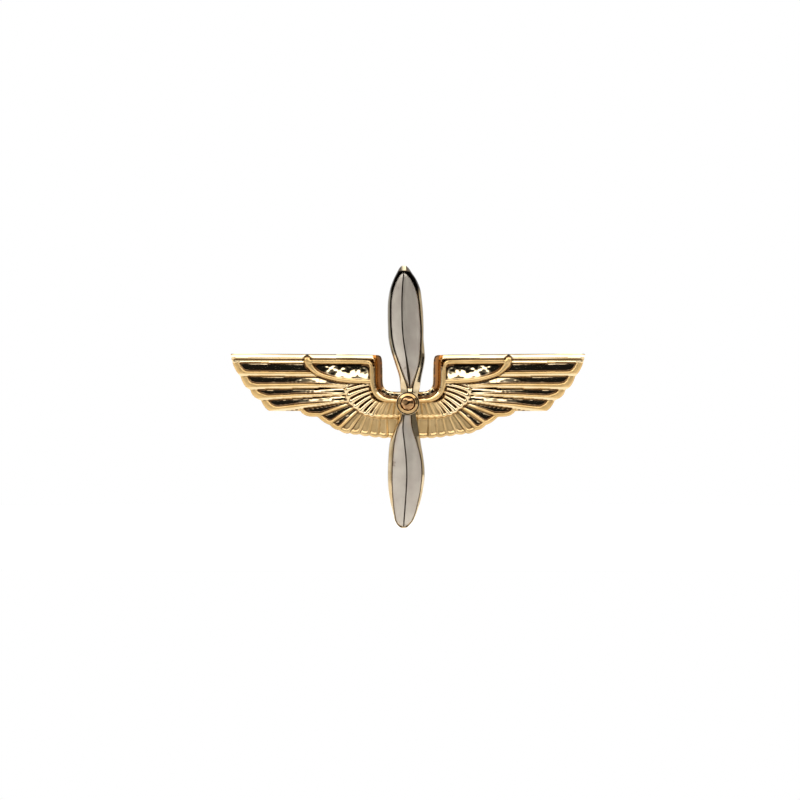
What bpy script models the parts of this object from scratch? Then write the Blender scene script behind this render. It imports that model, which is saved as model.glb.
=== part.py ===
"""Pilot wings pin: a gold propeller with silver blade faces, riveted over struck gold wings,
with a hinged brooch needle and a turning safety catch behind.

The pin is worn upright. +Z runs up the propeller, +X to the right as a viewer sees the face, and
the face looks along -Y. The origin is on the hub's axis, on the flat rear end of the hub boss,
which lies against the cloth. Dimensions are in millimetres, and each helper turns them into metres.
"""
import math

import bmesh
import bpy
from mathutils import Matrix, Vector

MM = 0.001
CIRCLE_STEPS = 32
RUNNING_GAP = 0.02            # between pieces that touch or turn in each other
THROUGH = 6.0                 # length of a cutter that goes right through

# Depths: the rear boss ends at y = 0, and the face grows towards -y.
WING_BACK = -0.10
WING_FIELD = -0.80            # the ground between the feathers
FEATHER_FRONT = -1.08
COVERT_FRONT = -1.24
STRAP_FRONT = -1.34
RIM_FRONT = -1.38
RIM_WIDTH = 0.36
PROPELLER_BACK = WING_FIELD - RUNNING_GAP
BLADE_BACK = PROPELLER_BACK - 0.03
BLADE_RIM = -1.78
FACING_SEAT = -1.52
FACING_EDGE = -1.72
FACING_RIDGE = -2.00
HUB_SEAT = -1.96

HUB_BOSS_RADIUS = 1.0
REAR_BOSS_RADIUS = 0.9
RIVET_SHANK = 0.40
RIVET_HEAD = 0.68
DOME_SHOULDER = 0.16          # the rivet's straight side, under its dome
DOME_RISE = 0.40
RING_OUTER = 0.90
RING_HEIGHT = 0.38
RING_CHAMFER = 0.10

# Brooch fitting: the needle runs along x behind the wings, hidden by them.
NEEDLE_Y = 2.30
NEEDLE_Z = 0.35
NEEDLE_RADIUS = 0.32
NEEDLE_TIP_X = 8.20
NEEDLE_TAPER = 2.6
PIVOT_X = -7.0
PIVOT_RADIUS = 0.30
EYE_RADIUS = 0.72
EYE_THICK = 0.76
EAR_GAP = 0.84
EAR_THICK = 0.34
EAR_RADIUS = 0.74
EAR_FOOT = 0.98               # half an ear's width where it meets the pad
HINGE_HEAD = 0.50
HINGE_HEAD_RISE = 0.22
CATCH_X = 6.85
PAD_LENGTH = 2.5
PAD_WIDTH = 1.9
PAD_CORNER = 0.28
PAD_FRONT = WING_BACK + RUNNING_GAP
PAD_REAR = 0.34
SOLDER_REACH = 0.28           # past the pad on every side
SOLDER_CORNER = 0.55
SOLDER_RISE = 0.24
SOLDER_ROUND = 0.12
BARREL_LENGTH = 1.5
BARREL_OUTER = 1.0
BARREL_INNER = 0.74
ROTOR_OUTER = 0.70
ROTOR_INNER = 0.42
ROTOR_SLOT = 0.74
BARREL_SLOT = 0.90
COLLAR_OUTER = 0.92
COLLAR_LENGTH = 0.55
LIP_LENGTH = 0.22
NECK_WIDTH = 1.0
TAB_START = 0.6
TAB_LENGTH = 1.75
TAB_THICK = 0.40

# One wing's half outline, x > 0, before the feather tips: notch floor, notch wall and top edge.
NOTCH_AND_TOP = [
    (0.0, 0.95), (1.30, 0.95), (1.75, 1.08), (2.02, 1.38), (2.10, 1.75), (2.10, 3.62),
    (2.24, 3.88), (2.55, 3.98), (14.00, 4.06), (14.43, 4.03)]
# Each feather from the wing tip inwards: three points round its tip, and where its lower edge
# meets the coverts.
FEATHERS = [
    ((14.43, 4.03), (14.12, 3.08), (13.64, 2.52), (7.60, 2.33)),
    ((13.58, 2.42), (13.27, 1.72), (12.85, 1.40), (5.14, 1.40)),
    ((12.78, 1.34), (12.52, 0.84), (11.98, 0.53), (5.05, 0.78)),
    ((11.90, 0.47), (11.62, -0.08), (11.28, -0.40), (4.92, 0.22)),
    ((8.72, -0.48), (8.25, -0.86), (7.38, -0.95), (4.76, -0.04)),
    ((7.26, -1.02), (6.80, -1.42), (6.38, -1.62), (4.41, -0.40)),
    ((6.30, -1.68), (5.96, -1.97), (5.62, -2.07), (4.08, -0.66)),
    ((5.52, -2.12), (5.18, -2.33), (4.80, -2.37), (3.70, -0.86)),
    ((4.70, -2.41), (4.38, -2.54), (3.96, -2.51), (3.28, -0.99)),
    ((3.86, -2.53), (3.52, -2.66), (3.15, -2.62), (2.75, -1.09)),
    ((3.05, -2.65), (2.72, -2.77), (2.38, -2.72), (2.20, -1.15)),
    ((2.28, -2.74), (1.96, -2.83), (1.64, -2.77), (1.62, -1.17)),
    ((1.54, -2.78), (1.20, -2.83), (0.60, -2.77), (0.70, -1.16))]
FIRST_ROOT = (8.25, 3.60)
GROOVE = 0.16                 # between two feathers
TIP_LEDGE = 0.05              # the ground shows this far past a feather's tip
ROOT_OVERLAP = 0.30
# The raised rims: the shoulder strap, and the one along the top edge and round the notch.
STRAP = [(8.14, 3.68), (8.07, 3.20), (7.72, 2.70), (7.30, 2.42), (6.60, 2.14), (5.60, 1.90),
         (4.60, 1.82), (3.12, 1.80)]
EDGE_RIM = [(13.80, 3.76), (3.42, 3.70), (3.14, 3.60), (3.04, 3.34), (3.05, 1.60), (2.98, 1.10),
            (2.74, 0.68), (2.38, 0.40), (1.90, 0.28), (0.60, 0.24)]
# The covert band's outer edge, from the strap round to the hub, and its inner edge.
COVERT_OUTER = [(5.10, 1.38), (5.00, 0.68), (4.74, -0.02), (4.41, -0.24), (4.08, -0.52),
                (3.70, -0.82), (3.25, -0.96), (2.70, -1.08), (1.97, -1.15), (0.66, -1.12)]
COVERT_INNER = [(3.25, 1.55), (3.25, 1.02), (3.04, 0.56), (2.70, 0.26), (2.30, 0.16), (1.90, 0.12),
                (1.60, 0.11), (0.66, 0.09)]
COVERT_RIBS = 12

# Blade stations: z, outer left, face left, ridge, face right, outer right.
UPPER_BLADE = [
    (0.40, -0.62, -0.20, 0.16, 0.46, 0.80),
    (1.15, -0.62, -0.20, 0.16, 0.46, 0.96),
    (2.23, -0.74, -0.38, 0.08, 0.66, 1.14),
    (3.00, -0.98, -0.62, -0.03, 0.84, 1.30),
    (3.69, -1.20, -0.86, -0.13, 0.95, 1.40),
    (4.41, -1.42, -1.08, -0.25, 1.00, 1.36),
    (5.14, -1.57, -1.23, -0.35, 1.03, 1.30),
    (6.23, -1.63, -1.34, -0.45, 1.03, 1.29),
    (7.32, -1.65, -1.37, -0.48, 0.95, 1.25),
    (8.41, -1.61, -1.34, -0.48, 0.84, 1.15),
    (9.50, -1.41, -1.16, -0.43, 0.62, 0.98),
    (10.23, -1.14, -0.88, -0.37, 0.30, 0.64),
    (10.80, -0.76, -0.56, -0.33, -0.06, 0.20),
    (11.20, -0.48, -0.42, -0.33, -0.24, -0.14)]
LOWER_BLADE = [
    (-0.40, -0.62, -0.40, -0.20, 0.24, 0.66),
    (-0.95, -0.66, -0.44, -0.30, 0.26, 0.72),
    (-1.94, -1.05, -0.82, -0.40, 0.34, 0.90),
    (-3.18, -1.48, -1.10, -0.28, 0.72, 1.06),
    (-4.43, -1.60, -1.22, -0.15, 1.04, 1.27),
    (-5.68, -1.64, -1.28, -0.09, 1.14, 1.38),
    (-6.92, -1.60, -1.27, -0.13, 1.04, 1.27),
    (-8.17, -1.42, -1.18, -0.21, 0.80, 0.99),
    (-9.10, -1.10, -0.92, -0.28, 0.40, 0.56),
    (-9.73, -0.78, -0.64, -0.32, 0.02, 0.16),
    (-10.13, -0.52, -0.44, -0.34, -0.24, -0.14)]
HUB_END = 1.45                # the blades' faces start this far from the hub's axis
BLADE_DRAFT = 0.12            # each side wall leans in by this much towards the front

GOLD = (0.78, 0.52, 0.20, 1.0)
PALE_GOLD = (0.86, 0.66, 0.36, 1.0)
SILVER = (0.70, 0.68, 0.65, 1.0)
NICKEL = (0.62, 0.60, 0.56, 1.0)
SOLDER = (0.55, 0.53, 0.50, 1.0)


def remove_all_objects():
    for obj in list(bpy.data.objects):
        bpy.data.objects.remove(obj, do_unlink=True)


def new_collection(name, hidden=False):
    made = bpy.data.collections.new(name)
    bpy.context.scene.collection.children.link(made)
    made.hide_render = hidden
    return made


def metal(name, colour, roughness):
    made = bpy.data.materials.new(name)
    made.use_nodes = True
    shader = made.node_tree.nodes["Principled BSDF"]
    shader.inputs["Base Color"].default_value = colour
    shader.inputs["Roughness"].default_value = roughness
    shader.inputs["Metallic"].default_value = 1.0
    made.diffuse_color = colour
    return made


def as_object(name, mesh, collection):
    made = bpy.data.objects.new(name, mesh)
    collection.objects.link(made)
    if collection.hide_render:
        made.hide_render = True
        made.display_type = "WIRE"
    return made


def mesh_from(name, build):
    """A mesh filled in by build(bm), with its faces turned outwards."""
    bm = bmesh.new()
    build(bm)
    bmesh.ops.recalc_face_normals(bm, faces=bm.faces)
    mesh = bpy.data.meshes.new(name)
    bm.to_mesh(mesh)
    bm.free()
    return mesh


def curve_to_mesh_object(name, curve, turn, collection):
    """The curve's solid as a welded mesh object. turn places it, and the curve is removed."""
    source = bpy.data.objects.new(name + "_curve", curve)
    bpy.context.scene.collection.objects.link(source)
    source.matrix_world = turn
    graph = bpy.context.evaluated_depsgraph_get()
    mesh = bpy.data.meshes.new_from_object(source.evaluated_get(graph))
    bm = bmesh.new()
    bm.from_mesh(mesh)
    bmesh.ops.remove_doubles(bm, verts=bm.verts, dist=1e-7)
    bmesh.ops.recalc_face_normals(bm, faces=bm.faces)
    bm.to_mesh(mesh)
    bm.free()
    mesh.name = name
    mesh.materials.clear()
    made = as_object(name, mesh, collection)
    made.matrix_world = turn
    bpy.data.objects.remove(source, do_unlink=True)
    bpy.data.curves.remove(curve)
    return made


def flat_outline(name, points, thickness):
    """A filled 2D curve through the points, extruded by half the thickness each way."""
    curve = bpy.data.curves.new(name + "_outline", "CURVE")
    curve.dimensions = "2D"
    curve.fill_mode = "BOTH"
    curve.extrude = thickness / 2 * MM
    spline = curve.splines.new("POLY")
    spline.points.add(len(points) - 1)
    for point, (across, up) in zip(spline.points, points):
        point.co = (across * MM, up * MM, 0.0, 1.0)
    spline.use_cyclic_u = True
    return curve


def outline_solid(name, points, front, back, collection):
    """An outline of (x, z) points, extruded from y = front to y = back."""
    place = at(0.0, (front + back) / 2, 0.0) @ facing_viewer()
    curve = flat_outline(name, points, abs(back - front))
    return curve_to_mesh_object(name, curve, place, collection)


def upright_solid(name, points, low, high, collection):
    """An outline of (x, y) points, extruded from z = low to z = high."""
    curve = flat_outline(name, points, high - low)
    return curve_to_mesh_object(name, curve, at(0.0, 0.0, (low + high) / 2), collection)


def turned(name, profile, axis_matrix, collection):
    """A body of revolution about its local +Z. profile runs (radius, height) from top to bottom."""
    mesh = bpy.data.meshes.new(name)
    points = [(radius * MM, 0.0, height * MM) for radius, height in profile]
    edges = [(i, i + 1) for i in range(len(points) - 1)]
    if profile[0][0] > 0.0:
        edges.append((len(points) - 1, 0))
    mesh.from_pydata(points, edges, [])
    made = as_object(name, mesh, collection)
    made.matrix_world = axis_matrix
    screw = made.modifiers.new("Turn", "SCREW")
    screw.steps = CIRCLE_STEPS
    screw.render_steps = CIRCLE_STEPS
    screw.use_merge_vertices = True
    screw.merge_threshold = 1e-7
    screw.use_smooth_shade = True
    return made


def cylinder(name, radius, length, place, collection, steps=CIRCLE_STEPS):
    """A plain round bar along its local Z, centred on place."""
    def build(bm):
        bmesh.ops.create_cone(bm, cap_ends=True, segments=steps, radius1=radius * MM,
                              radius2=radius * MM, depth=length * MM)
    made = as_object(name, mesh_from(name, build), collection)
    made.matrix_world = place
    return made


def box(name, low, high, collection):
    """A block between two corners."""
    def build(bm):
        bmesh.ops.create_cube(bm, size=1.0)
        size = [(h - l) * MM for l, h in zip(low, high)]
        middle = [(h + l) / 2 * MM for l, h in zip(low, high)]
        bmesh.ops.scale(bm, vec=size, verts=bm.verts)
        bmesh.ops.translate(bm, vec=middle, verts=bm.verts)
    return as_object(name, mesh_from(name, build), collection)


def loft(name, sections, collection):
    """A closed skin over sections of (x, y, z) points, all with the same number of points."""
    def build(bm):
        rings = []
        for section in sections:
            rings.append([bm.verts.new(Vector(point) * MM) for point in section])
        count = len(rings[0])
        for lower, upper in zip(rings, rings[1:]):
            for i in range(count):
                j = (i + 1) % count
                bm.faces.new((lower[i], lower[j], upper[j], upper[i]))
        bm.faces.new(rings[0])
        bm.faces.new(rings[-1])
        bmesh.ops.triangulate(bm, faces=bm.faces)
    return as_object(name, mesh_from(name, build), collection)


def boolean(target, operation, other):
    step = target.modifiers.new(operation.title(), "BOOLEAN")
    step.operation = operation
    step.solver = "EXACT"
    step.object = other
    return step


def union_all(target, name, others):
    """Joins every object of others to target in one step."""
    group = bpy.data.collections.new(name)
    cutters().children.link(group)
    for other in others:
        cutters().objects.unlink(other)
        group.objects.link(other)
    step = target.modifiers.new("Join", "BOOLEAN")
    step.operation = "UNION"
    step.solver = "EXACT"
    step.operand_type = "COLLECTION"
    step.collection = group


def cutters():
    return bpy.data.collections["cutters"]


def finish(obj, material, smooth=False):
    obj.data.materials.append(material)
    if smooth:
        obj.data.shade_smooth()
        obj.data.set_sharp_from_angle(angle=math.radians(35.0))


def at(x, y, z):
    return Matrix.Translation((x * MM, y * MM, z * MM))


def facing_viewer():
    """Turns local +Z to the face's side, -Y."""
    return Matrix.Rotation(math.radians(90.0), 4, "X")


def along_x():
    """Turns local +Z to +X."""
    return Matrix.Rotation(math.radians(90.0), 4, "Y")


def both_sides(points):
    """The mirror image of points, in reverse order, after the points themselves."""
    mirrored = [(-x, z) for x, z in reversed(points) if x > 0.0]
    return points + mirrored


def plate_outline():
    half = list(NOTCH_AND_TOP)
    for tip_top, tip_side, tip_low, _ in FEATHERS:
        half += [tip_top, tip_side, tip_low]
    half.remove(FEATHERS[0][0])
    half.append((0.0, FEATHERS[-1][2][1]))
    return both_sides(half)


def toward(a, b, share):
    return (a[0] + (b[0] - a[0]) * share, a[1] + (b[1] - a[1]) * share)


def feather_outline(index):
    """One feather's outline. It stops short of its neighbours, so that a groove stays between
    them, and its root runs on under the coverts or the strap."""
    tip_top, tip_side, tip_low, root_low = [Vector(point) for point in FEATHERS[index]]
    root_top = Vector(FIRST_ROOT if index == 0 else FEATHERS[index - 1][3])
    root = (root_top + root_low) / 2
    axis = ((tip_top + tip_low) / 2 - root).normalized()
    across = Vector((-axis.y, axis.x))
    outline = []
    for point, lengthen in ((root_top, ROOT_OVERLAP), (tip_top, -TIP_LEDGE), (tip_side, -TIP_LEDGE),
                            (tip_low, -TIP_LEDGE), (root_low, ROOT_OVERLAP)):
        along = (point - root).dot(axis)
        aside = (point - root).dot(across)
        along += lengthen if lengthen < 0.0 else -lengthen
        aside -= math.copysign(min(GROOVE / 2, 0.35 * abs(aside)), aside)
        place = root + axis * along + across * aside
        outline.append((place.x, place.y))
    return outline


def point_on(path, share):
    """The point at this share of a path's length."""
    lengths = [math.dist(a, b) for a, b in zip(path, path[1:])]
    left = share * sum(lengths)
    for (a, b), length in zip(zip(path, path[1:]), lengths):
        if left <= length:
            return toward(a, b, left / length)
        left -= length
    return path[-1]


def band_outline(path, reach):
    """The outline of a band that runs along a path, reach to either side of it."""
    points = [Vector(point) for point in path]
    left, right = [], []
    for i, point in enumerate(points):
        ahead = points[min(i + 1, len(points) - 1)]
        behind = points[max(i - 1, 0)]
        along = (ahead - behind).normalized()
        aside = Vector((-along.y, along.x)) * reach
        left.append((point.x + aside.x, point.y + aside.y))
        right.append((point.x - aside.x, point.y - aside.y))
    return left + right[::-1]


def rib_outline(index):
    """One small covert feather between the notch rim and the covert edge."""
    start = (index + 0.14) / COVERT_RIBS
    end = (index + 0.86) / COVERT_RIBS
    return [point_on(COVERT_INNER, start), point_on(COVERT_OUTER, start),
            point_on(COVERT_OUTER, end), point_on(COVERT_INNER, end)]


def mirrored(points, side):
    return [(side * x, z) for x, z in points]


def arc(radius, start, end, steps):
    """Points on a circle about the hub's axis, between two angles in degrees."""
    angles = [math.radians(start + (end - start) * i / steps) for i in range(steps + 1)]
    return [(radius * math.cos(a), radius * math.sin(a)) for a in angles]


def seat_outline():
    """The flat on the wings that takes the propeller: the hub boss and both blade roots."""
    radius = HUB_BOSS_RADIUS + 0.03
    left = [(-0.72, 1.60), (-0.74, 0.90)] + arc(radius, 141.0, 219.0, 6)
    lower = [(-1.20, -1.90), (-1.62, -3.10), (1.20, -3.10), (1.06, -1.90)]
    right = arc(radius, -36.0, 27.0, 5) + [(1.00, 0.95), (1.10, 1.60)]
    return left + lower + right


def make_wings(collection, gold):
    """The struck plate: ground, feathers, coverts, rims, rear boss, propeller seat and rivet hole."""
    plate = outline_solid("wings_plate", plate_outline(), WING_FIELD, WING_BACK, collection)
    relief = []
    inside = (WING_FIELD + WING_BACK) / 2
    for side, word in ((1, "right"), (-1, "left")):
        for i in range(len(FEATHERS)):
            depth = FEATHER_FRONT + 0.01 * (i % 2)
            outline = mirrored(feather_outline(i), side)
            relief.append(outline_solid(f"feather_{word}_{i}", outline, depth, inside, cutters()))
        for i in range(COVERT_RIBS):
            outline = mirrored(rib_outline(i), side)
            relief.append(outline_solid(f"covert_{word}_{i}", outline, COVERT_FRONT, inside - 0.01,
                                        cutters()))
        for label, path, front in (("strap", STRAP, STRAP_FRONT), ("edge_rim", EDGE_RIM, RIM_FRONT)):
            band = mirrored(band_outline(path, RIM_WIDTH / 2), side)
            relief.append(outline_solid(f"{label}_{word}", band, front, inside + 0.02, cutters()))
    union_all(plate, "wing_relief", relief)
    seat = outline_solid("propeller_seat", seat_outline(), -3.0, WING_FIELD, cutters())
    boolean(plate, "DIFFERENCE", seat)
    boss_middle = (WING_BACK - 0.2) / 2
    boss = at(0.0, boss_middle, 0.0) @ facing_viewer()
    boolean(plate, "UNION", cylinder("rear_boss", REAR_BOSS_RADIUS, -2.0 * boss_middle, boss,
                                     cutters()))
    hole = cylinder("wing_rivet_hole", RIVET_SHANK + RUNNING_GAP, THROUGH, facing_viewer(),
                    cutters())
    boolean(plate, "DIFFERENCE", hole)
    finish(plate, gold)


def blade_sections(stations):
    sections = []
    for z, left, _, _, _, right in stations:
        draft = min(BLADE_DRAFT, (right - left) / 4)
        sections.append([(left, BLADE_BACK, z), (right, BLADE_BACK, z),
                         (right - draft, BLADE_RIM, z), (left + draft, BLADE_RIM, z)])
    return sections


def station_between(stations, z):
    """A blade station at height z, between the two that enclose it."""
    for a, b in zip(stations, stations[1:]):
        if min(a[0], b[0]) <= z <= max(a[0], b[0]):
            share = (z - a[0]) / (b[0] - a[0])
            return tuple(p + (q - p) * share for p, q in zip(a, b))
    raise ValueError("height outside the blade")


def face_stations(stations, start):
    """The stations that the silver face covers: from start to just short of the tip."""
    inner = [station for station in stations if abs(station[0]) > abs(start) + 0.05]
    last, before = inner[-1], inner[-2]
    end = station_between([before, last], before[0] + (last[0] - before[0]) * 0.55)
    return [station_between(stations, start)] + inner[:-1] + [end]


def face_sections(stations, start, grow, edge, ridge, seat):
    """Sections of a blade's V-shaped face: a flat seat, two edges and a raised ridge."""
    sections = []
    for z, _, left, middle, right, _ in face_stations(stations, start):
        low, high = left - grow, right + grow
        sections.append([(low, seat, z), (high, seat, z), (high, edge, z), (middle, ridge, z),
                         (low, edge, z)])
    return sections


def make_propeller(collection, gold):
    """The gold body: both blades, each with a seat for its silver face, and the hub boss."""
    propeller = loft("propeller", blade_sections(UPPER_BLADE), collection)
    lower = loft("lower_blade", blade_sections(LOWER_BLADE), cutters())
    boss_middle = (PROPELLER_BACK + HUB_SEAT) / 2
    boss = cylinder("hub_boss", HUB_BOSS_RADIUS, PROPELLER_BACK - HUB_SEAT,
                    at(0.0, boss_middle, 0.0) @ facing_viewer(), cutters(), 48)
    union_all(propeller, "propeller_joins", [lower, boss])
    for name, stations, start in (("upper_seat", UPPER_BLADE, HUB_END),
                                  ("lower_seat", LOWER_BLADE, -HUB_END)):
        gap = start - math.copysign(RUNNING_GAP, start)
        sections = face_sections(stations, gap, RUNNING_GAP, -3.0, -3.0, FACING_SEAT)
        boolean(propeller, "DIFFERENCE", loft(name, sections, cutters()))
    hole = cylinder("propeller_rivet_hole", RIVET_SHANK + RUNNING_GAP, THROUGH, facing_viewer(),
                    cutters())
    boolean(propeller, "DIFFERENCE", hole)
    finish(propeller, gold)


def make_blade_faces(collection, silver):
    """The silver faces, each folded along its ridge, one per blade."""
    seat = FACING_SEAT - RUNNING_GAP
    for name, stations, start in (("upper_blade_face", UPPER_BLADE, HUB_END),
                                  ("lower_blade_face", LOWER_BLADE, -HUB_END)):
        sections = face_sections(stations, start, 0.0, FACING_EDGE, FACING_RIDGE, seat)
        finish(loft(name, sections, collection), silver)


def make_hub(collection, gold, pale):
    """The ring round the hub, and the domed rivet that holds the propeller on the wings."""
    seat = -HUB_SEAT + RUNNING_GAP
    top = seat + RING_HEIGHT
    inner = RIVET_HEAD + RUNNING_GAP
    inset = (RING_OUTER - inner) * 0.3
    ring = [(inner, top - RING_CHAMFER), (inner + inset, top), (RING_OUTER - inset, top),
            (RING_OUTER, top - RING_CHAMFER), (RING_OUTER, seat), (inner, seat)]
    finish(turned("hub_ring", ring, facing_viewer(), collection), pale, smooth=True)
    shoulder = seat + DOME_SHOULDER
    dome = [(0.0, shoulder + DOME_RISE)]
    for step in range(1, 6):
        angle = math.radians(18.0 * step)
        dome.append((RIVET_HEAD * math.sin(angle), shoulder + DOME_RISE * math.cos(angle)))
    dome += [(RIVET_HEAD, seat), (RIVET_SHANK, seat), (RIVET_SHANK, 0.0), (0.0, 0.0)]
    finish(turned("hub_rivet", dome, facing_viewer(), collection), gold, smooth=True)


def rounded_rectangle(x, z, length, width, radius):
    """A rectangle's outline with round corners, in (x, z)."""
    points = []
    for quarter, (sx, sz) in enumerate(((1, 1), (-1, 1), (-1, -1), (1, -1))):
        for step in range(4):
            angle = math.radians(90.0 * quarter + 30.0 * step)
            points.append((x + sx * (length / 2 - radius) + radius * math.cos(angle),
                           z + sz * (width / 2 - radius) + radius * math.sin(angle)))
    return points


def make_solder(name, x, collection, solder):
    """A fillet of solder round a fitting's pad."""
    outer = rounded_rectangle(x, NEEDLE_Z, PAD_LENGTH + 2 * SOLDER_REACH,
                              PAD_WIDTH + 2 * SOLDER_REACH, SOLDER_CORNER)
    fillet = outline_solid(name, outer, PAD_FRONT, PAD_FRONT + SOLDER_RISE, collection)
    soften = fillet.modifiers.new("Round", "BEVEL")
    soften.width = SOLDER_ROUND * MM
    soften.segments = 2
    soften.limit_method = "ANGLE"
    inner = rounded_rectangle(x, NEEDLE_Z, PAD_LENGTH + 2 * RUNNING_GAP,
                              PAD_WIDTH + 2 * RUNNING_GAP, PAD_CORNER + RUNNING_GAP)
    boolean(fillet, "DIFFERENCE", outline_solid(name + "_inside", inner, -1.0, 1.0, cutters()))
    finish(fillet, solder)


def pad(name, x, collection):
    outline = rounded_rectangle(x, NEEDLE_Z, PAD_LENGTH, PAD_WIDTH, PAD_CORNER)
    return outline_solid(name, outline, PAD_FRONT, PAD_REAR, collection)


def make_hinge(collection, nickel):
    """The hinge bracket on its pad, and the rivet through its two ears."""
    bracket = pad("hinge_bracket", PIVOT_X, collection)
    ear_span = EAR_GAP + 2 * EAR_THICK
    ear = [(PIVOT_X - EAR_FOOT, PAD_REAR - 0.2), (PIVOT_X + EAR_FOOT, PAD_REAR - 0.2)]
    for step in range(13):
        angle = math.radians(15.0 * step)
        ear.append((PIVOT_X + EAR_RADIUS * math.cos(angle), NEEDLE_Y + EAR_RADIUS * math.sin(angle)))
    boolean(bracket, "UNION", upright_solid("ear_block", ear, NEEDLE_Z - ear_span / 2,
                                            NEEDLE_Z + ear_span / 2, cutters()))
    slot = box("ear_slot", (PIVOT_X - 2.0, PAD_REAR, NEEDLE_Z - EAR_GAP / 2),
               (PIVOT_X + 2.0, NEEDLE_Y + 2.0, NEEDLE_Z + EAR_GAP / 2), cutters())
    boolean(bracket, "DIFFERENCE", slot)
    hole = cylinder("pivot_hole", PIVOT_RADIUS + RUNNING_GAP, THROUGH,
                    at(PIVOT_X, NEEDLE_Y, NEEDLE_Z), cutters())
    boolean(bracket, "DIFFERENCE", hole)
    finish(bracket, nickel)
    half = ear_span / 2 + RUNNING_GAP
    crown = half + HINGE_HEAD_RISE
    upper = [(0.0, crown), (0.28, crown - 0.04), (HINGE_HEAD, half + 0.06), (HINGE_HEAD, half),
             (PIVOT_RADIUS, half)]
    profile = upper + [(radius, -height) for radius, height in reversed(upper)]
    finish(turned("hinge_rivet", profile, at(PIVOT_X, NEEDLE_Y, NEEDLE_Z), collection), nickel,
           smooth=True)


def make_needle(collection, nickel):
    """The sharpened needle with its flat eye. Its origin is on the hinge axis."""
    length = NEEDLE_TIP_X - PIVOT_X
    straight = length - NEEDLE_TAPER
    profile = [(0.0, length), (0.05, length - 0.14), (0.20, length - NEEDLE_TAPER * 0.45),
               (NEEDLE_RADIUS, straight), (NEEDLE_RADIUS, 0.45), (0.0, 0.45)]
    needle = turned("needle", profile, at(PIVOT_X, NEEDLE_Y, NEEDLE_Z) @ along_x(), collection)
    eye = cylinder("needle_eye", EYE_RADIUS, EYE_THICK, at(PIVOT_X, NEEDLE_Y, NEEDLE_Z), cutters())
    boolean(needle, "UNION", eye)
    hole = cylinder("eye_hole", PIVOT_RADIUS + RUNNING_GAP, THROUGH,
                    at(PIVOT_X, NEEDLE_Y, NEEDLE_Z), cutters())
    boolean(needle, "DIFFERENCE", hole)
    finish(needle, nickel)


def make_catch(collection, nickel):
    """The catch: a slotted barrel on its pad, and inside it a slotted sleeve with a thumb tab."""
    axis = at(CATCH_X, NEEDLE_Y, NEEDLE_Z)
    barrel = pad("catch_barrel", CATCH_X, collection)
    half = BARREL_LENGTH / 2
    neck = box("barrel_neck", (CATCH_X - half, PAD_REAR - 0.2, NEEDLE_Z - NECK_WIDTH / 2),
               (CATCH_X + half, NEEDLE_Y, NEEDLE_Z + NECK_WIDTH / 2), cutters())
    body = cylinder("barrel_body", BARREL_OUTER, BARREL_LENGTH, axis @ along_x(), cutters())
    union_all(barrel, "barrel_joins", [neck, body])
    boolean(barrel, "DIFFERENCE", cylinder("barrel_bore", BARREL_INNER, THROUGH,
                                           axis @ along_x(), cutters()))
    slot = box("barrel_slot", (CATCH_X - 2.0, NEEDLE_Y, NEEDLE_Z - BARREL_SLOT / 2),
               (CATCH_X + 2.0, NEEDLE_Y + 2.0, NEEDLE_Z + BARREL_SLOT / 2), cutters())
    boolean(barrel, "DIFFERENCE", slot)
    finish(barrel, nickel)
    # the sleeve: a lip inboard of the barrel, and a collar with the thumb tab outboard of it
    lip = half + RUNNING_GAP
    profile = [(ROTOR_INNER, lip + COLLAR_LENGTH), (COLLAR_OUTER, lip + COLLAR_LENGTH),
               (COLLAR_OUTER, lip), (ROTOR_OUTER, lip), (ROTOR_OUTER, -lip), (COLLAR_OUTER, -lip),
               (COLLAR_OUTER, -lip - LIP_LENGTH), (ROTOR_INNER, -lip - LIP_LENGTH)]
    sleeve = turned("safety_sleeve", profile, axis @ along_x(), collection)
    tab = box("thumb_tab", (CATCH_X + lip, NEEDLE_Y - TAB_THICK / 2, NEEDLE_Z + TAB_START),
              (CATCH_X + lip + COLLAR_LENGTH, NEEDLE_Y + TAB_THICK / 2, NEEDLE_Z + TAB_LENGTH),
              cutters())
    boolean(sleeve, "UNION", tab)
    opening = box("sleeve_slot", (CATCH_X - 3.0, NEEDLE_Y, NEEDLE_Z - ROTOR_SLOT / 2),
                  (CATCH_X + 3.0, NEEDLE_Y + 2.0, NEEDLE_Z + ROTOR_SLOT / 2), cutters())
    boolean(sleeve, "DIFFERENCE", opening)
    finish(sleeve, nickel)


def main():
    remove_all_objects()
    pin = new_collection("pilot_wings_pin")
    new_collection("cutters", hidden=True)
    gold = metal("gold", GOLD, 0.22)
    pale = metal("pale_gold", PALE_GOLD, 0.20)
    silver = metal("silver", SILVER, 0.30)
    nickel = metal("nickel", NICKEL, 0.28)
    solder = metal("solder", SOLDER, 0.45)
    make_wings(pin, gold)
    make_propeller(pin, gold)
    make_blade_faces(pin, silver)
    make_hub(pin, gold, pale)
    make_solder("hinge_solder", PIVOT_X, pin, solder)
    make_hinge(pin, nickel)
    make_needle(pin, nickel)
    make_solder("catch_solder", CATCH_X, pin, solder)
    make_catch(pin, nickel)


main()
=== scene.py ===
"""Looks for the pilot wings pin: struck gold wings, a gold propeller with silver blade faces, and
the nickel brooch fitting behind.

Everything is in the row frame: +Z runs up the propeller, +X to the right as a viewer sees the
face, and the face looks along -Y. Dimensions are in millimetres, and each helper turns them into
metres. A height is measured from the cloth's plane towards the viewer, so it is -y.
"""
import math

import bmesh
import bpy
import numpy as np
from mathutils import Matrix, Vector


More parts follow.
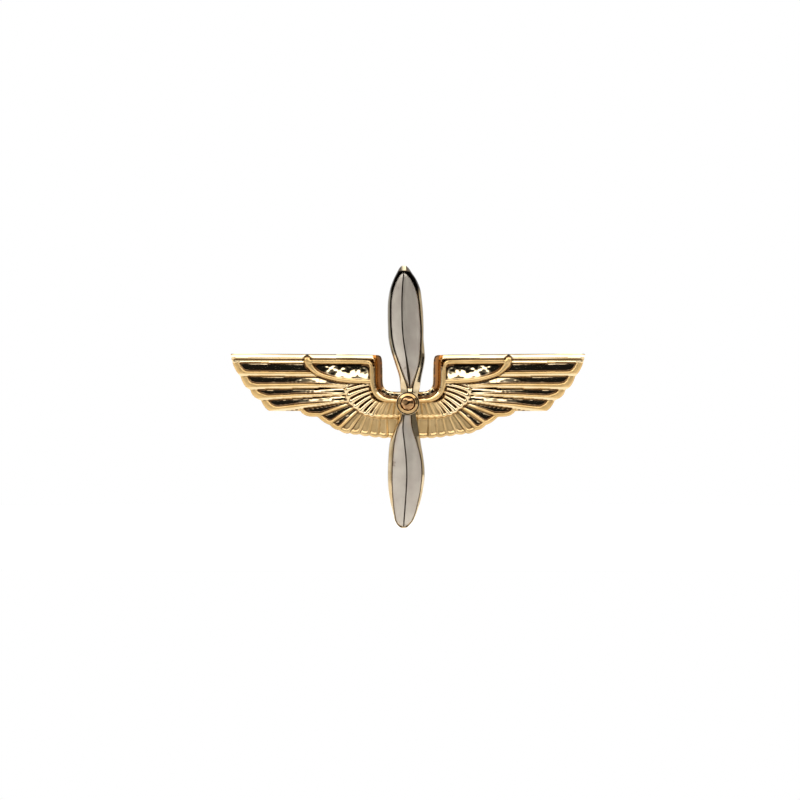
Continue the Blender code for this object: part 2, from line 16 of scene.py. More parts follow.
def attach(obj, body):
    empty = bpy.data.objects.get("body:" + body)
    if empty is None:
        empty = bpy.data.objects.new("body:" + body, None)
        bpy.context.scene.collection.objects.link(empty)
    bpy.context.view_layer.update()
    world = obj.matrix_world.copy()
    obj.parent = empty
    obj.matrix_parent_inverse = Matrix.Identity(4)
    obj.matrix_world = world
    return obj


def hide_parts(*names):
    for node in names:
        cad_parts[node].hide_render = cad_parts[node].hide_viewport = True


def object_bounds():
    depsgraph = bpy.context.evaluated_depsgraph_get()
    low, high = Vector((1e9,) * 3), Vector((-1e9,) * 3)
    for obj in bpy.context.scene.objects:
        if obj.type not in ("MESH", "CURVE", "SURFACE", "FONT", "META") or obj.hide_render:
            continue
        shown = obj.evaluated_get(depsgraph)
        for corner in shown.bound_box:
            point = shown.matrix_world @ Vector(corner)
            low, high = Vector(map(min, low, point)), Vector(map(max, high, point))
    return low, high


MM = 0.001

# Heights of the struck plate.
PLATE_BACK = 0.10
GROUND = 0.78                 # the lowest point between two feathers
FEATHER_LOW = 0.88            # a feather's dished face, beside the feather above it
FEATHER_TILT = 0.075          # a feather's face leans back by this, across its width
LIP_RISE = 0.17               # the raised band along a feather's lower edge and tip
COVERT_HEIGHT = 1.04
RIB_RISE = 0.24
PANEL_LOW = 0.98
SCOOP_RISE = 0.28             # how far the panel rises towards the strap
STRAP_FOOT = 1.0
STRAP_HEIGHT = 1.34
RIM_HEIGHT = 1.36
SHELF_HEIGHT = 1.0
BEVEL_FOOT = 0.98             # the top bevel's outer edge
BEVEL_SLOPE = 0.52
WALL_FOOT = 0.46              # the notch's side wall at the outline
GRID = 0.05                   # spacing of the plate's mesh
GRID_REACH = 14.62            # how far the mesh goes to each side
GRID_UP = (-2.95, 4.20)       # and down and up
NOTCH_WALL = 0.68             # width of the slope round the notch
TOP_BEVEL = 0.35              # width of the sloped band along the top edge
SHELF = (3.26, 3.47)          # the polished band under it, outside the strap
SHELF_START = 8.3
RIM_START = 2.9               # where the plain edge over the top rim begins
CREASE_SHADE_DEPTH = 0.022          # depth under its surroundings at which a crease's painted shade is full
PANEL_DENTS = 0.018
DIMPLES = 0.011               # unevenness of the polished faces
FLOOR_WAVES = 0.030
PLATE_WAVES = 0.0035
SEED = 7

# One wing, x > 0: the notch and top edge, then each feather's tip in three points with the place
# where its lower edge meets the coverts.
NOTCH = [(0.0, 0.95), (1.30, 0.95), (1.75, 1.08), (2.02, 1.38), (2.10, 1.75), (2.10, 3.62),
         (2.24, 3.88)]
TOP_EDGE = [(2.24, 3.88), (2.55, 3.98), (14.00, 4.06), (14.43, 4.03)]
FEATHERS = [
    ((14.43, 4.03), (14.16, 2.99), (13.70, 2.28), (7.60, 2.18)),
    ((13.62, 2.18), (13.31, 1.48), (12.89, 1.15), (5.14, 1.30)),
    ((12.82, 1.09), (12.56, 0.59), (12.02, 0.27), (5.05, 0.67)),
    ((11.94, 0.21), (11.66, -0.29), (11.30, -0.61), (4.92, 0.09)),
    ((8.74, -0.62), (8.27, -1.00), (7.40, -1.09), (4.76, -0.14)),
    ((7.28, -1.15), (6.82, -1.54), (6.40, -1.73), (4.41, -0.48)),
    ((6.32, -1.79), (5.98, -2.07), (5.64, -2.17), (4.08, -0.72)),
    ((5.54, -2.21), (5.20, -2.41), (4.82, -2.45), (3.70, -0.90)),
    ((4.70, -2.41), (4.38, -2.54), (3.96, -2.51), (3.28, -0.99)),
    ((3.86, -2.53), (3.52, -2.66), (3.15, -2.62), (2.75, -1.09)),
    ((3.05, -2.65), (2.72, -2.77), (2.38, -2.72), (2.20, -1.15)),
    ((2.28, -2.74), (1.96, -2.83), (1.64, -2.77), (1.62, -1.17)),
    ((1.54, -2.78), (1.20, -2.83), (0.60, -2.77), (0.70, -1.16))]
FIRST_LINE = ((8.25, 3.25), (14.20, 3.33))
PRIMARIES = 4                 # the long feathers, whose faces are polished and lips broad
POLISHED_FEATHERS = 7
PRIMARY_LIP = 0.52
FIRST_LIP = 0.40              # the topmost feather's
FAN_LIP = 0.24
LIP_SLOPE = 0.20              # width of the slope along a long feather's lower edge
TIP_LIP = 0.55
STRAP = [(8.20, 3.50), (8.16, 3.35), (8.02, 3.08), (7.72, 2.70), (7.30, 2.42), (6.60, 2.16),
         (5.60, 1.92), (4.60, 1.82), (3.12, 1.78)]
STRAP_HALF = (0.27, 0.19)     # half its width at the top, and beyond the bend
TOP_RIM = [(8.10, 3.41), (3.50, 3.39), (3.12, 3.32), (2.95, 3.06), (2.93, 1.70), (2.85, 1.14),
           (2.61, 0.70), (2.28, 0.42), (1.86, 0.28), (0.60, 0.24)]
RIM_HALF = 0.18
# The slope under the propeller's arms: each place's share of its width, and its height.
NOTCH_FLOOR = [(0.0, 0.50), (0.06, 0.62), (0.16, 0.68), (0.58, 0.69), (0.82, 0.87), (0.90, 1.10),
               (1.0, 1.30)]
COVERT_OUTER = [(5.10, 1.38), (5.00, 0.68), (4.74, -0.02), (4.41, -0.24), (4.08, -0.52),
                (3.70, -0.82), (3.25, -0.96), (2.70, -1.08), (1.97, -1.15), (0.66, -1.12)]
RIB_OUTER = [(4.70, 1.58), (5.02, 1.10)] + COVERT_OUTER[2:]
RIB_INNER = [(3.14, 1.70), (3.13, 1.02), (2.94, 0.56), (2.60, 0.26), (2.26, 0.15), (1.60, 0.10),
             (0.66, 0.08)]
RIBS = 11
RIB_DROOP = 0.30              # how far a rib's outer end hangs below its straight line

# Blade stations: z, outer left, face left, ridge, face right, outer right.
UPPER_BLADE = [
    (0.40, -0.62, 0.04, 0.16, 0.30, 0.80), (1.15, -0.62, 0.00, 0.16, 0.34, 0.96),
    (2.23, -0.74, -0.36, 0.08, 0.62, 1.14), (3.00, -0.98, -0.62, -0.03, 0.84, 1.30),
    (3.69, -1.20, -0.86, -0.13, 0.95, 1.40), (4.41, -1.42, -1.08, -0.25, 1.00, 1.36),
    (5.14, -1.57, -1.23, -0.35, 1.03, 1.30), (6.23, -1.63, -1.34, -0.45, 1.03, 1.29),
    (7.32, -1.65, -1.37, -0.48, 0.95, 1.25), (8.41, -1.61, -1.34, -0.48, 0.84, 1.15),
    (9.50, -1.40, -1.12, -0.43, 0.56, 0.96), (10.23, -1.12, -0.82, -0.37, 0.18, 0.62),
    (10.60, -0.93, -0.60, -0.34, -0.06, 0.36), (10.90, -0.77, -0.44, -0.33, -0.22, 0.16),
    (11.08, -0.65, -0.42, -0.33, -0.24, 0.02), (11.20, -0.50, -0.40, -0.33, -0.26, -0.14)]
LOWER_BLADE = [
    (-0.40, -0.62, -0.40, -0.20, 0.24, 0.66), (-0.95, -0.66, -0.44, -0.30, 0.26, 0.72),
    (-1.94, -1.05, -0.82, -0.40, 0.34, 0.90), (-3.18, -1.48, -1.10, -0.28, 0.72, 1.06),
    (-4.43, -1.60, -1.22, -0.15, 1.04, 1.27), (-5.68, -1.64, -1.28, -0.09, 1.14, 1.38),
    (-6.92, -1.60, -1.27, -0.13, 1.04, 1.27), (-8.17, -1.42, -1.18, -0.21, 0.80, 0.99),
    (-9.10, -1.19, -1.06, -0.28, 0.54, 0.68), (-9.63, -1.04, -0.94, -0.32, 0.28, 0.40),
    (-9.90, -0.87, -0.77, -0.33, 0.06, 0.17), (-10.04, -0.72, -0.63, -0.34, -0.09, 0.02),
    (-10.13, -0.52, -0.46, -0.34, -0.24, -0.16)]
STATIONS = 120                # sections along each blade
BLADE_BACK = 0.85
BLADE_SHOULDER = 1.62         # top of the side wall
BLADE_RIM = 1.80              # crest of the gold border, beside the silver face
CREST_WIDTH = (0.10, 0.34)    # along the blade, and round its tip
FACE_END = (10.62, 10.05)     # how far from the hub's axis the upper and lower face end
FACE_SEAT = 1.54
FACE_EDGE = 1.72
FACE_RIDGE = 2.00
FACE_START = (1.26, 0.97)     # how far from the hub's axis the upper and lower face start
GROOVE_HALF = (0.055, 0.16)   # half width of the ridge's groove, painted dark as shade: far out, and at the hub
GROOVE_DEPTH = 0.10
# The upper blade's border, painted dark as a reflection: the heights over which its left side, its
# tip and the cap left bright in the tip's middle begin, and the cap's place and half its width.
BORDER_SHADE_FROM = (3.7, 4.2)
TIP_SHADE_FROM = (8.8, 9.5)
CAP_FROM = (10.75, 10.9)
CAP_MIDDLE = -0.33
CAP_HALF = (0.14, 0.20)

HUB_BACK = 0.82
HUB_SEAT = 1.96
HUB_RADIUS = 0.95
RING = (0.61, 0.83, 0.38)     # inner and outer radius, and height over the hub's seat
RING_FALL = 0.085             # how far its bevel falls to the outer edge
RIVET_HEAD = 0.60
RIVET_SHOULDER = 0.16         # height of its straight edge
RIVET_RISE = 0.39             # height of the dome over it
RIVET_SHANK = 0.40
HAMMER_DEPTH = 0.026
REAR_BOSS = 0.90
TURN_STEPS = 96
FITTING_EDGE = 0.04           # how far the brooch fitting's edges are softened
FLOOR_RADIUS = 140.0
FLOOR_GAP = 0.2


def at(x, y, z):
    return Matrix.Translation((x * MM, y * MM, z * MM))


def facing_viewer():
    """Turns local +Z to the face's side, -Y."""
    return Matrix.Rotation(math.radians(90.0), 4, "X")


def piece(name, mesh, material, body, slot, *nodes):
    """A shown piece that rides on a body and stands for CAD nodes."""
    made = bpy.data.objects.new(name, mesh)
    bpy.context.scene.collection.objects.link(made)
    mesh.materials.clear()
    mesh.materials.append(material)
    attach(made, body)
    if nodes:
        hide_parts(*nodes)
    return made


# ---------------------------------------------------------------- the struck plate

def softened(path, rounds=2):
    """An open path with its corners cut, its two ends kept."""
    points = np.array(path, float)
    for _ in range(rounds):
        near = points[:-1] * 0.75 + points[1:] * 0.25
        far = points[:-1] * 0.25 + points[1:] * 0.75
        cut = np.stack([near, far], axis=1).reshape(-1, 2)
        points = np.vstack([points[:1], cut[1:-1], points[-1:]])
    return points


def tip_curve(tip_top, tip_side, tip_low, steps=8):
    """A feather's tip as one curve through its three points."""
    top, side, low = (np.array(point) for point in (tip_top, tip_side, tip_low))
    pull = 2.0 * side - (top + low) / 2.0
    t = np.linspace(0.0, 1.0, steps + 1)[:, None]
    return (1 - t) ** 2 * top + 2 * t * (1 - t) * pull + t ** 2 * low


def half_outline():
    parts = [softened(NOTCH), softened(TOP_EDGE)[1:]]
    parts += [tip_curve(*feather[:3]) for feather in FEATHERS]
    end = np.array([[0.0, FEATHERS[-1][2][1]]])
    return np.vstack(parts + [end])


def distance_to(x, z, path):
    best = np.full(x.shape, np.inf)
    for (ax, az), (bx, bz) in zip(path[:-1], path[1:]):
        dx, dz = bx - ax, bz - az
        share = ((x - ax) * dx + (z - az) * dz) / max(dx * dx + dz * dz, 1e-9)
        share = np.clip(share, 0.0, 1.0)
        best = np.minimum(best, np.hypot(x - ax - share * dx, z - az - share * dz))
    return best


def inside(x, z, outline):
    """True where a point lies inside a closed outline."""
    found = np.zeros(x.shape, bool)
    for (ax, az), (bx, bz) in zip(outline, np.roll(outline, -1, axis=0)):
        if az == bz:
            continue
        crosses = (az > z) != (bz > z)
        found ^= crosses & (x < ax + (z - az) * (bx - ax) / (bz - az))
    return found


def fan(x, z, lines):
    """Each point's place between lines that run from root to tip: how many it has passed, and its
    distance from the last one and to the next."""
    signed = [np.full(x.shape, 99.0)]
    for (ax, az), (bx, bz) in lines:
        length = math.hypot(bx - ax, bz - az)
        signed.append(((x - ax) * (bz - az) - (z - az) * (bx - ax)) / length)
    signed.append(np.full(x.shape, -99.0))
    signed = np.stack(signed)
    passed = (signed[1:-1] > 0.0).sum(axis=0)
    last = np.take_along_axis(signed, passed[None], axis=0)[0]
    following = -np.take_along_axis(signed, passed[None] + 1, axis=0)[0]
    return passed, np.maximum(last, 0.0), np.maximum(following, 0.0)


def ramp(value, low, high):
    """0 at low and 1 at high, with a smooth turn at both ends."""
    t = np.clip((value - low) / (high - low), 0.0, 1.0)
    return t * t * (3.0 - 2.0 * t)


def soft_least(first, second, sharpness=5.0):
    """The smaller of two values, with the corner between them rounded."""
    low, high = np.minimum(first, second), np.maximum(first, second)
    return low - np.log1p(np.exp(-sharpness * (high - low))) / sharpness


def roll(distance, half):
    """A rounded band's section: 1 on its middle line, 0 at its edges."""
    return np.sqrt(np.clip(1.0 - (distance / half) ** 2, 0.0, 1.0))


def flat_band(distance, half, edge):
    """A flat-topped band with rounded edges."""
    return np.sqrt(np.clip(1.0 - (np.maximum(distance - half + edge, 0.0) / edge) ** 2, 0.0, 1.0))


def ripple(x, z, wave, seed):
    """Smooth random waviness of about this wavelength, from -1 to 1."""
    source = np.random.default_rng(seed)
    total = np.zeros(x.shape)
    for _ in range(9):
        angle = source.uniform(0.0, math.pi)
        number = 2.0 * math.pi / (wave * source.uniform(0.7, 1.5))
        phase = source.uniform(0.0, 2.0 * math.pi)
        total += np.sin(number * (x * math.cos(angle) + z * math.sin(angle)) + phase)
    return total / 4.5


def feather_relief(x, z):
    """Heights of the ground and the thirteen feathers, how matte each point is, and where a long
    feather's lower slope must stay free of the creases' painted shade."""
    edge = np.full(x.shape, np.inf)
    lines = [FIRST_LINE]
    for index, (tip_top, tip_side, tip_low, root_low) in enumerate(FEATHERS):
        edge = np.minimum(edge, distance_to(x, z, tip_curve(tip_top, tip_side, tip_low)[1:]))
        following = FEATHERS[index + 1][0] if index + 1 < len(FEATHERS) else tip_low
        lines.append((root_low, ((tip_low[0] + following[0]) / 2, (tip_low[1] + following[1]) / 2)))
    passed, above, below = fan(x, z, lines)
    feather = passed - 1
    width = above + below
    primary = feather < PRIMARIES
    polished = feather < POLISHED_FEATHERS
    from_coverts = distance_to(x, z, COVERT_OUTER)
    long_lip = np.minimum(PRIMARY_LIP, (0.30 + 0.15 * ramp(from_coverts, 0.5, 4.0)) * width)
    long_lip = np.where(feather == 0, np.minimum(long_lip, FIRST_LIP), long_lip)
    lip = np.where(primary, long_lip, np.minimum(FAN_LIP, 0.4 * width))
    tip_lip = np.where(primary, TIP_LIP, 0.34)
    across = soft_least(below / np.maximum(lip, 0.02), edge / tip_lip)
    share = above / np.maximum(width, 0.05)
    # away from the coverts a feather is nearly flat; near them it leans more, then swells into
    # a rounded root
    root = 1.0 - ramp(from_coverts, 0.3, 2.4)
    lean = np.where(primary & (feather > 0), 0.30 * (1.0 - ramp(from_coverts, 0.5, 6.0)), 0.0)
    lean = np.where(polished, lean, -FEATHER_TILT)
    dish = FEATHER_LOW + (FEATHER_TILT + lean) * above
    swell = FEATHER_LOW + 0.02 + 0.16 * roll(share - 0.5, 0.5)
    rounding = np.where(primary, 0.85 * root, np.where(polished, 0.25 * root, 0.35))
    face = dish + (swell - dish) * rounding
    rise = np.where(polished, LIP_RISE, 0.55 * LIP_RISE)
    band = rise * (1.0 - ramp(across, 0.86, 1.06)) * (1.0 - 0.45 * root)
    # a lip's lower edge: a polished slope on the long feathers, a quarter round on the others
    slope = 0.5 * np.maximum(LIP_SLOPE - below, 0.0)
    quarter = 0.15 * (1.0 - np.sqrt(np.clip(1.0 - (1.0 - np.minimum(below, 0.15) / 0.15) ** 2,
                                            0.0, 1.0)))
    fall = 0.12 * (1.0 - np.clip(edge / TIP_LIP, 0.0, 1.0)) ** 2
    edge_round = np.where(primary, slope + fall, quarter)
    upper = np.where(primary, 0.0, 0.03 * roll(above - 0.06, 0.06))
    groove = 0.05 * np.exp(-(above / 0.05) ** 2)
    height = face + band - edge_round + upper - groove
    height = np.where((feather < 0) | (feather >= len(FEATHERS)), GROUND, height)
    bead = np.where(primary, 0.0, 0.7 * (1.0 - ramp(above, 0.08, 0.14)))
    matte = np.where(polished, np.maximum(1.0 - ramp(across, 0.9, 1.05), bead), 0.85)
    on_lip = ramp(below, LIP_SLOPE - 0.04, LIP_SLOPE + 0.03)
    matte = matte * np.where(primary, 0.15 + 0.85 * on_lip, 1.0)
    clear = np.where(primary, ramp(below, LIP_SLOPE + 0.05, LIP_SLOPE - 0.02), 0.0)
    return np.maximum(height, GROUND), matte, clear


def covert_relief(x, z):
    """Heights of the small ribbed coverts and their scalloped edge, with where they lie."""
    outer = softened(RIB_OUTER)
    inner = softened(RIB_INNER)
    lines = []
    for index in range(RIBS + 1):
        share = index / RIBS
        lines.append((along(inner, share), along(outer, share)))
    from_outer = distance_to(x, z, softened(COVERT_OUTER))
    from_inner = distance_to(x, z, inner)
    droop = RIB_DROOP * (from_inner / (from_inner + from_outer + 0.01)) ** 2
    passed, above, below = fan(x, z + droop, lines)
    place = above / np.maximum(above + below, 0.02)
    in_ribs = (passed > 0) & (passed <= RIBS)
    scallop = np.where(in_ribs, 0.10 * (1.0 - (2.0 * place - 1.0) ** 2), 0.0)
    region = np.array(RIB_INNER + [(0.0, 0.08), (0.0, -1.12)] + COVERT_OUTER[::-1]
                      + [(4.60, 1.82), (3.12, 1.80)])
    within = inside(x, z, region)
    depth = np.where(within, from_outer, -from_outer) + scallop
    rib = np.where(in_ribs, roll(place - 0.5, 0.45), 0.55)
    tall = RIB_RISE * (0.55 + 0.45 * ramp(x, 2.2, 3.4))
    sheet = COVERT_HEIGHT + (tall * rib - 0.06) * ramp(depth, 0.10, 0.30)
    ridge = 0.14 * roll(depth - 0.10, 0.13)
    return sheet + ridge, ramp(depth, -0.03, 0.03)


def along(path, share):
    """The point at this share of a path's length."""
    steps = np.hypot(*np.diff(path, axis=0).T)
    reached = np.concatenate([[0.0], np.cumsum(steps)])
    place = share * reached[-1]
    return (float(np.interp(place, reached, path[:, 0])),
            float(np.interp(place, reached, path[:, 1])))


def panel_relief(x, z, strap_gap, rim_gap, rough):
    """Heights of the dished panel between the strap and the top rim."""
    scoop_edge = strap_gap + 0.10 * ripple(x, z, 0.9, SEED + 5)
    scoop = SCOOP_RISE * (1.0 - ramp(scoop_edge, 0.0, 1.45)) ** 1.6
    scoop = scoop * (1.0 - 0.7 * ramp(x, 5.6, 7.6))
    dents = PANEL_DENTS * rough * ramp(rim_gap, 0.16, 0.4) * ripple(x, z, 0.45, SEED + 6)
    return PANEL_LOW + scoop + dents


def notch_relief(x, z, rise):
    """Heights of the slope round the notch, and how far each point lies in its lower part. Under
    the propeller's arms the slope breaks into a flat, a short ramp and a step."""
    side_wall = WALL_FOOT + (RIM_HEIGHT - 0.52) * np.sin(rise * math.pi / 2)
    shares, levels = zip(*NOTCH_FLOOR)
    floor_wall = np.interp(rise, shares, levels)
    low_part = 1.0 - ramp(z + 0.35 * (x - 1.9), 1.15, 1.45)
    floor_wall = floor_wall + FLOOR_WAVES * ripple(1.6 * x, 0.5 * z, 0.9, SEED + 8)
    return side_wall + (floor_wall - side_wall) * low_part, low_part


def plate_relief(x, z):
    """Height and matteness of the struck plate at points of the right wing, each point's distance
    inside the outline, how far the notch wall has its deep orange of painted reflection and shade,
    and where the creases' painted shade is left out."""
    outline = half_outline()
    closed = np.vstack([outline, [NOTCH[0]]])
    edge = distance_to(x, z, outline)
    signed = np.where(inside(x, z, closed), edge, -edge)
    height, matte, clear = feather_relief(x, z)

    strap_gap = distance_to(x, z, softened(STRAP))
    rim_gap = distance_to(x, z, softened(TOP_RIM))
    in_panel = inside(x, z, np.array(STRAP[::-1] + TOP_RIM[1:5]))
    rough = np.where(in_panel, ramp(strap_gap, 0.30, 0.70), 1.0)
    height = np.where(in_panel, panel_relief(x, z, strap_gap, rim_gap, rough), height)
    matte = np.where(in_panel, 0.0, matte)
    clear = np.where(in_panel, 0.0, clear)

    covert, covered = covert_relief(x, z)
    covered = np.where(in_panel, 0.0, covered)
    height = height + (covert - height) * covered
    satin = 0.12 + 0.72 * ramp(x, 3.6, 2.0)
    matte = matte + (satin - matte) * covered
    clear = clear * (1.0 - covered) * (strap_gap > 0.3)
    reach = np.where(covered > 0.5, 3.0, 4.3)
    clear = np.maximum(clear, 0.65 * ramp(x, reach, reach - 0.9) * (z < 0.1))

    # the plain edge outside the top rim, and the bands themselves
    above_rim = (z > SHELF[1]) & (x > RIM_START)
    height = np.where(above_rim, SHELF_HEIGHT, height)
    shelf = (x > SHELF_START) & (z > SHELF[0] + 0.013 * (x - SHELF_START)) & ~above_rim
    height = np.where(shelf, SHELF_HEIGHT + 0.5 * (SHELF[1] - z), height)
    matte = np.where(shelf, 0.15, matte)
    rim = flat_band(rim_gap, RIM_HALF, 0.08)
    rim_top = np.where(rim > 0.0, PANEL_LOW + (RIM_HEIGHT - PANEL_LOW) * rim, 0.0)
    height = np.maximum(height, rim_top)
    matte = np.maximum(matte, ramp(rim, 0.0, 0.4) * 0.9)
    strap_half = STRAP_HALF[1] + (STRAP_HALF[0] - STRAP_HALF[1]) * ramp(z, 2.5, 3.1)
    moat = np.exp(-((strap_gap - strap_half - 0.05) / 0.05) ** 2) * (z > 3.3) * (x > 7.7)

    # the walls: sloped round the notch, a narrow slope along the top, rounded at the tips
    notch_gap = distance_to(x, z, softened(NOTCH))
    rise = np.clip(notch_gap / NOTCH_WALL, 0.0, 1.0)
    notch_wall, low_part = notch_relief(x, z, rise)
    on_wall = notch_gap < NOTCH_WALL
    height = np.where(on_wall, notch_wall, height)
    matte = np.where(on_wall, 0.25 * (1.0 - low_part), matte)
    # painted reflection and shade: how far the notch's side wall takes the deep orange
    wall_reflection_shade = np.where(on_wall, (1.0 - low_part) * ramp(rise, 1.0, 0.82), 0.0)
    top_gap = distance_to(x, z, np.array(TOP_EDGE[1:]))
    bevel_top = BEVEL_FOOT + BEVEL_SLOPE * TOP_BEVEL
    bevel = np.minimum(BEVEL_FOOT + BEVEL_SLOPE * top_gap, bevel_top - 3.0 * (top_gap - TOP_BEVEL))
    height = np.where(top_gap < TOP_BEVEL, np.minimum(height + 9.0 * above_rim, bevel), height)
    height = np.where(above_rim & (top_gap >= TOP_BEVEL), np.maximum(height, bevel), height)
    matte = np.where(above_rim & (top_gap < TOP_BEVEL + 0.05), 0.1, matte)
    strap = flat_band(strap_gap, strap_half, 0.13)
    strap_top = np.where(strap > 0.0, STRAP_FOOT + (STRAP_HEIGHT - STRAP_FOOT) * strap, 0.0)
    height = np.maximum(height - 0.10 * moat, strap_top)
    matte = np.maximum(matte, ramp(strap, 0.0, 0.4) * 0.9)
    tip_edge = 0.78 + 0.30 * np.sqrt(np.maximum(signed, 0.0) / 0.10)
    height = np.where(top_gap > TOP_BEVEL, np.minimum(height, tip_edge), height)

    height += PLATE_WAVES * ripple(x, z, 1.1, SEED)
    patches = 0.3 + 0.7 * ramp(ripple(x, z, 1.3, SEED + 3), -0.1, 0.5)
    calm = on_wall & (low_part < 0.5) | shelf | above_rim
    dimples = DIMPLES * rough * patches * ripple(x, z, 0.34, SEED + 1) * (1.0 - matte)
    height += np.where(calm, 0.0, dimples)
    return height, matte, signed, wall_reflection_shade, clear


def blurred(values):
    """The grid of values with each one averaged with its neighbours."""
    padded = np.pad(values, 1, mode="edge")
    rows = (padded[:-2] + 2.0 * padded[1:-1] + padded[2:]) / 4.0
    return (rows[:, :-2] + 2.0 * rows[:, 1:-1] + rows[:, 2:]) / 4.0


def plate_mesh():
    """The plate: a relief on a grid, cut along the outline, with walls and a flat back."""
    half = np.arange(0.0, GRID_REACH, GRID)
    across = np.concatenate([-half[:0:-1], half])
    up = np.arange(*GRID_UP, GRID)
    x, z = np.meshgrid(across, up, indexing="ij")
    height, matte, signed, wall_reflection_shade, clear = plate_relief(np.abs(x), z)
    height = blurred(height)
    around = height
    for _ in range(6):
        around = blurred(around)
    # painted shade in creases: darker where the relief lies under its blurred surroundings
    crease_shade = np.clip((around - height) / CREASE_SHADE_DEPTH, 0.0, 1.0) * (1.0 - clear)

    signed = np.where(np.abs(signed) < 0.15 * GRID, 0.15 * GRID * np.sign(signed + 1e-12), signed)
    keep = signed > 0.0
    index = np.full(x.shape, -1)
    index[keep] = np.arange(keep.sum())
    places = [np.stack([x[keep], -height[keep], z[keep]], axis=1)]
    shades = [np.stack([matte[keep], wall_reflection_shade[keep], crease_shade[keep]], axis=1)]
    count = int(keep.sum())
    crossings = {}

    def crossing(a, b):
        """The vertex where the outline cuts the grid edge from a to b."""
        nonlocal count
        key = (a, b) if a < b else (b, a)
        if key not in crossings:
            share = signed[a] / (signed[a] - signed[b])
            point = [u[a] + (u[b] - u[a]) * share for u in (x, -height, z)]
            places.append(np.array([point]))
            shades.append(np.array([[matte[a], wall_reflection_shade[a], 0.0]]))
            crossings[key] = count
            count += 1
        return crossings[key]

    full = keep[:-1, :-1] & keep[1:, :-1] & keep[1:, 1:] & keep[:-1, 1:]
    i, j = np.nonzero(full)
    faces = np.stack([index[i, j], index[i + 1, j], index[i + 1, j + 1], index[i, j + 1]], axis=1)
    faces = faces.tolist()
    some = keep[:-1, :-1] | keep[1:, :-1] | keep[1:, 1:] | keep[:-1, 1:]
    for i, j in zip(*np.nonzero(some & ~full)):
        corners = [(i, j), (i + 1, j), (i + 1, j + 1), (i, j + 1)]
        face = []
        for a, b in zip(corners, corners[1:] + corners[:1]):
            if keep[a]:
                face.append(int(index[a]))
            if keep[a] != keep[b]:
                face.append(crossing(a, b))
        if len(face) > 2:
            faces.append(face)
    places = np.vstack(places)
    shades = np.vstack(shades)

    mesh = bpy.data.meshes.new("wings_relief")
    mesh.from_pydata((places * MM).tolist(), [], faces)
    for name, column in zip(("matte", "wall_reflection_shade", "crease_shade"), shades.T):
        layer = mesh.attributes.new(name, "FLOAT", "POINT")
        layer.data.foreach_set("value", column.astype(np.float32))
    close_plate(mesh)
    behind = np.array([vert.co.y for vert in mesh.vertices]) > -0.3 * MM
    for name, level in (("matte", 0.8), ("wall_reflection_shade", 0.0), ("crease_shade", 0.0)):
        layer = mesh.attributes[name]
        values = np.empty(len(behind), np.float32)
        layer.data.foreach_get("value", values)
        layer.data.foreach_set("value", np.where(behind, level, values).astype(np.float32))
    return mesh


def close_plate(mesh):
    """Adds the walls from the relief's border to the back, and the back itself."""
    bm = bmesh.new()
    bm.from_mesh(mesh)
    border = [edge for edge in bm.edges if edge.is_boundary]
    made = bmesh.ops.extrude_edge_only(bm, edges=border)["geom"]
    lower = [item for item in made if isinstance(item, bmesh.types.BMVert)]
    for vert in lower:
        vert.co.y = -(PLATE_BACK + 0.06) * MM
    rim = [edge for edge in bm.edges if edge.is_boundary]
    made = bmesh.ops.extrude_edge_only(bm, edges=rim)["geom"]
    last = [item for item in made if isinstance(item, bmesh.types.BMVert)]
    for vert in last:
        vert.co.y = -PLATE_BACK * MM
        inward = Vector((vert.normal.x, 0.0, vert.normal.z))
        if inward.length > 0.0:
            vert.co -= inward.normalized() * 0.05 * MM
    bmesh.ops.holes_fill(bm, edges=[edge for edge in bm.edges if edge.is_boundary], sides=0)
    bmesh.ops.recalc_face_normals(bm, faces=bm.faces)
    bm.to_mesh(mesh)
    bm.free()
    mesh.shade_smooth()
    mesh.set_sharp_from_angle(angle=math.radians(50.0))


# ---------------------------------------------------------------- lofts and turned pieces

def station_curve(stations, heights):
    """The stations' columns at these heights, on a cubic through them."""
    table = np.array(sorted(stations))
    slopes = np.gradient(table, table[:, 0], axis=0)
    slot = np.clip(np.searchsorted(table[:, 0], heights) - 1, 0, len(table) - 2)
    gap = (table[slot + 1, 0] - table[slot, 0])[:, None]
    t = ((heights - table[slot, 0])[:, None]) / gap
    return ((1 + 2 * t) * (1 - t) ** 2 * table[slot] + t * (1 - t) ** 2 * gap * slopes[slot]
            + t * t * (3 - 2 * t) * table[slot + 1] + t * t * (t - 1) * gap * slopes[slot + 1])


def loft(name, sections, sharp=35.0):
    """A closed skin over sections of (x, y, z) points, capped at both ends."""
    bm = bmesh.new()
    rings = [[bm.verts.new(Vector(point) * MM) for point in section] for section in sections]
    count = len(rings[0])
    for lower, upper in zip(rings, rings[1:]):
        for i in range(count):
            j = (i + 1) % count
            bm.faces.new((lower[i], lower[j], upper[j], upper[i]))
    bm.faces.new(rings[0])
    bm.faces.new(rings[-1])
    bmesh.ops.recalc_face_normals(bm, faces=bm.faces)
    mesh = bpy.data.meshes.new(name)
    bm.to_mesh(mesh)
    bm.free()
    mesh.shade_smooth()
    mesh.set_sharp_from_angle(angle=math.radians(sharp))
    return mesh


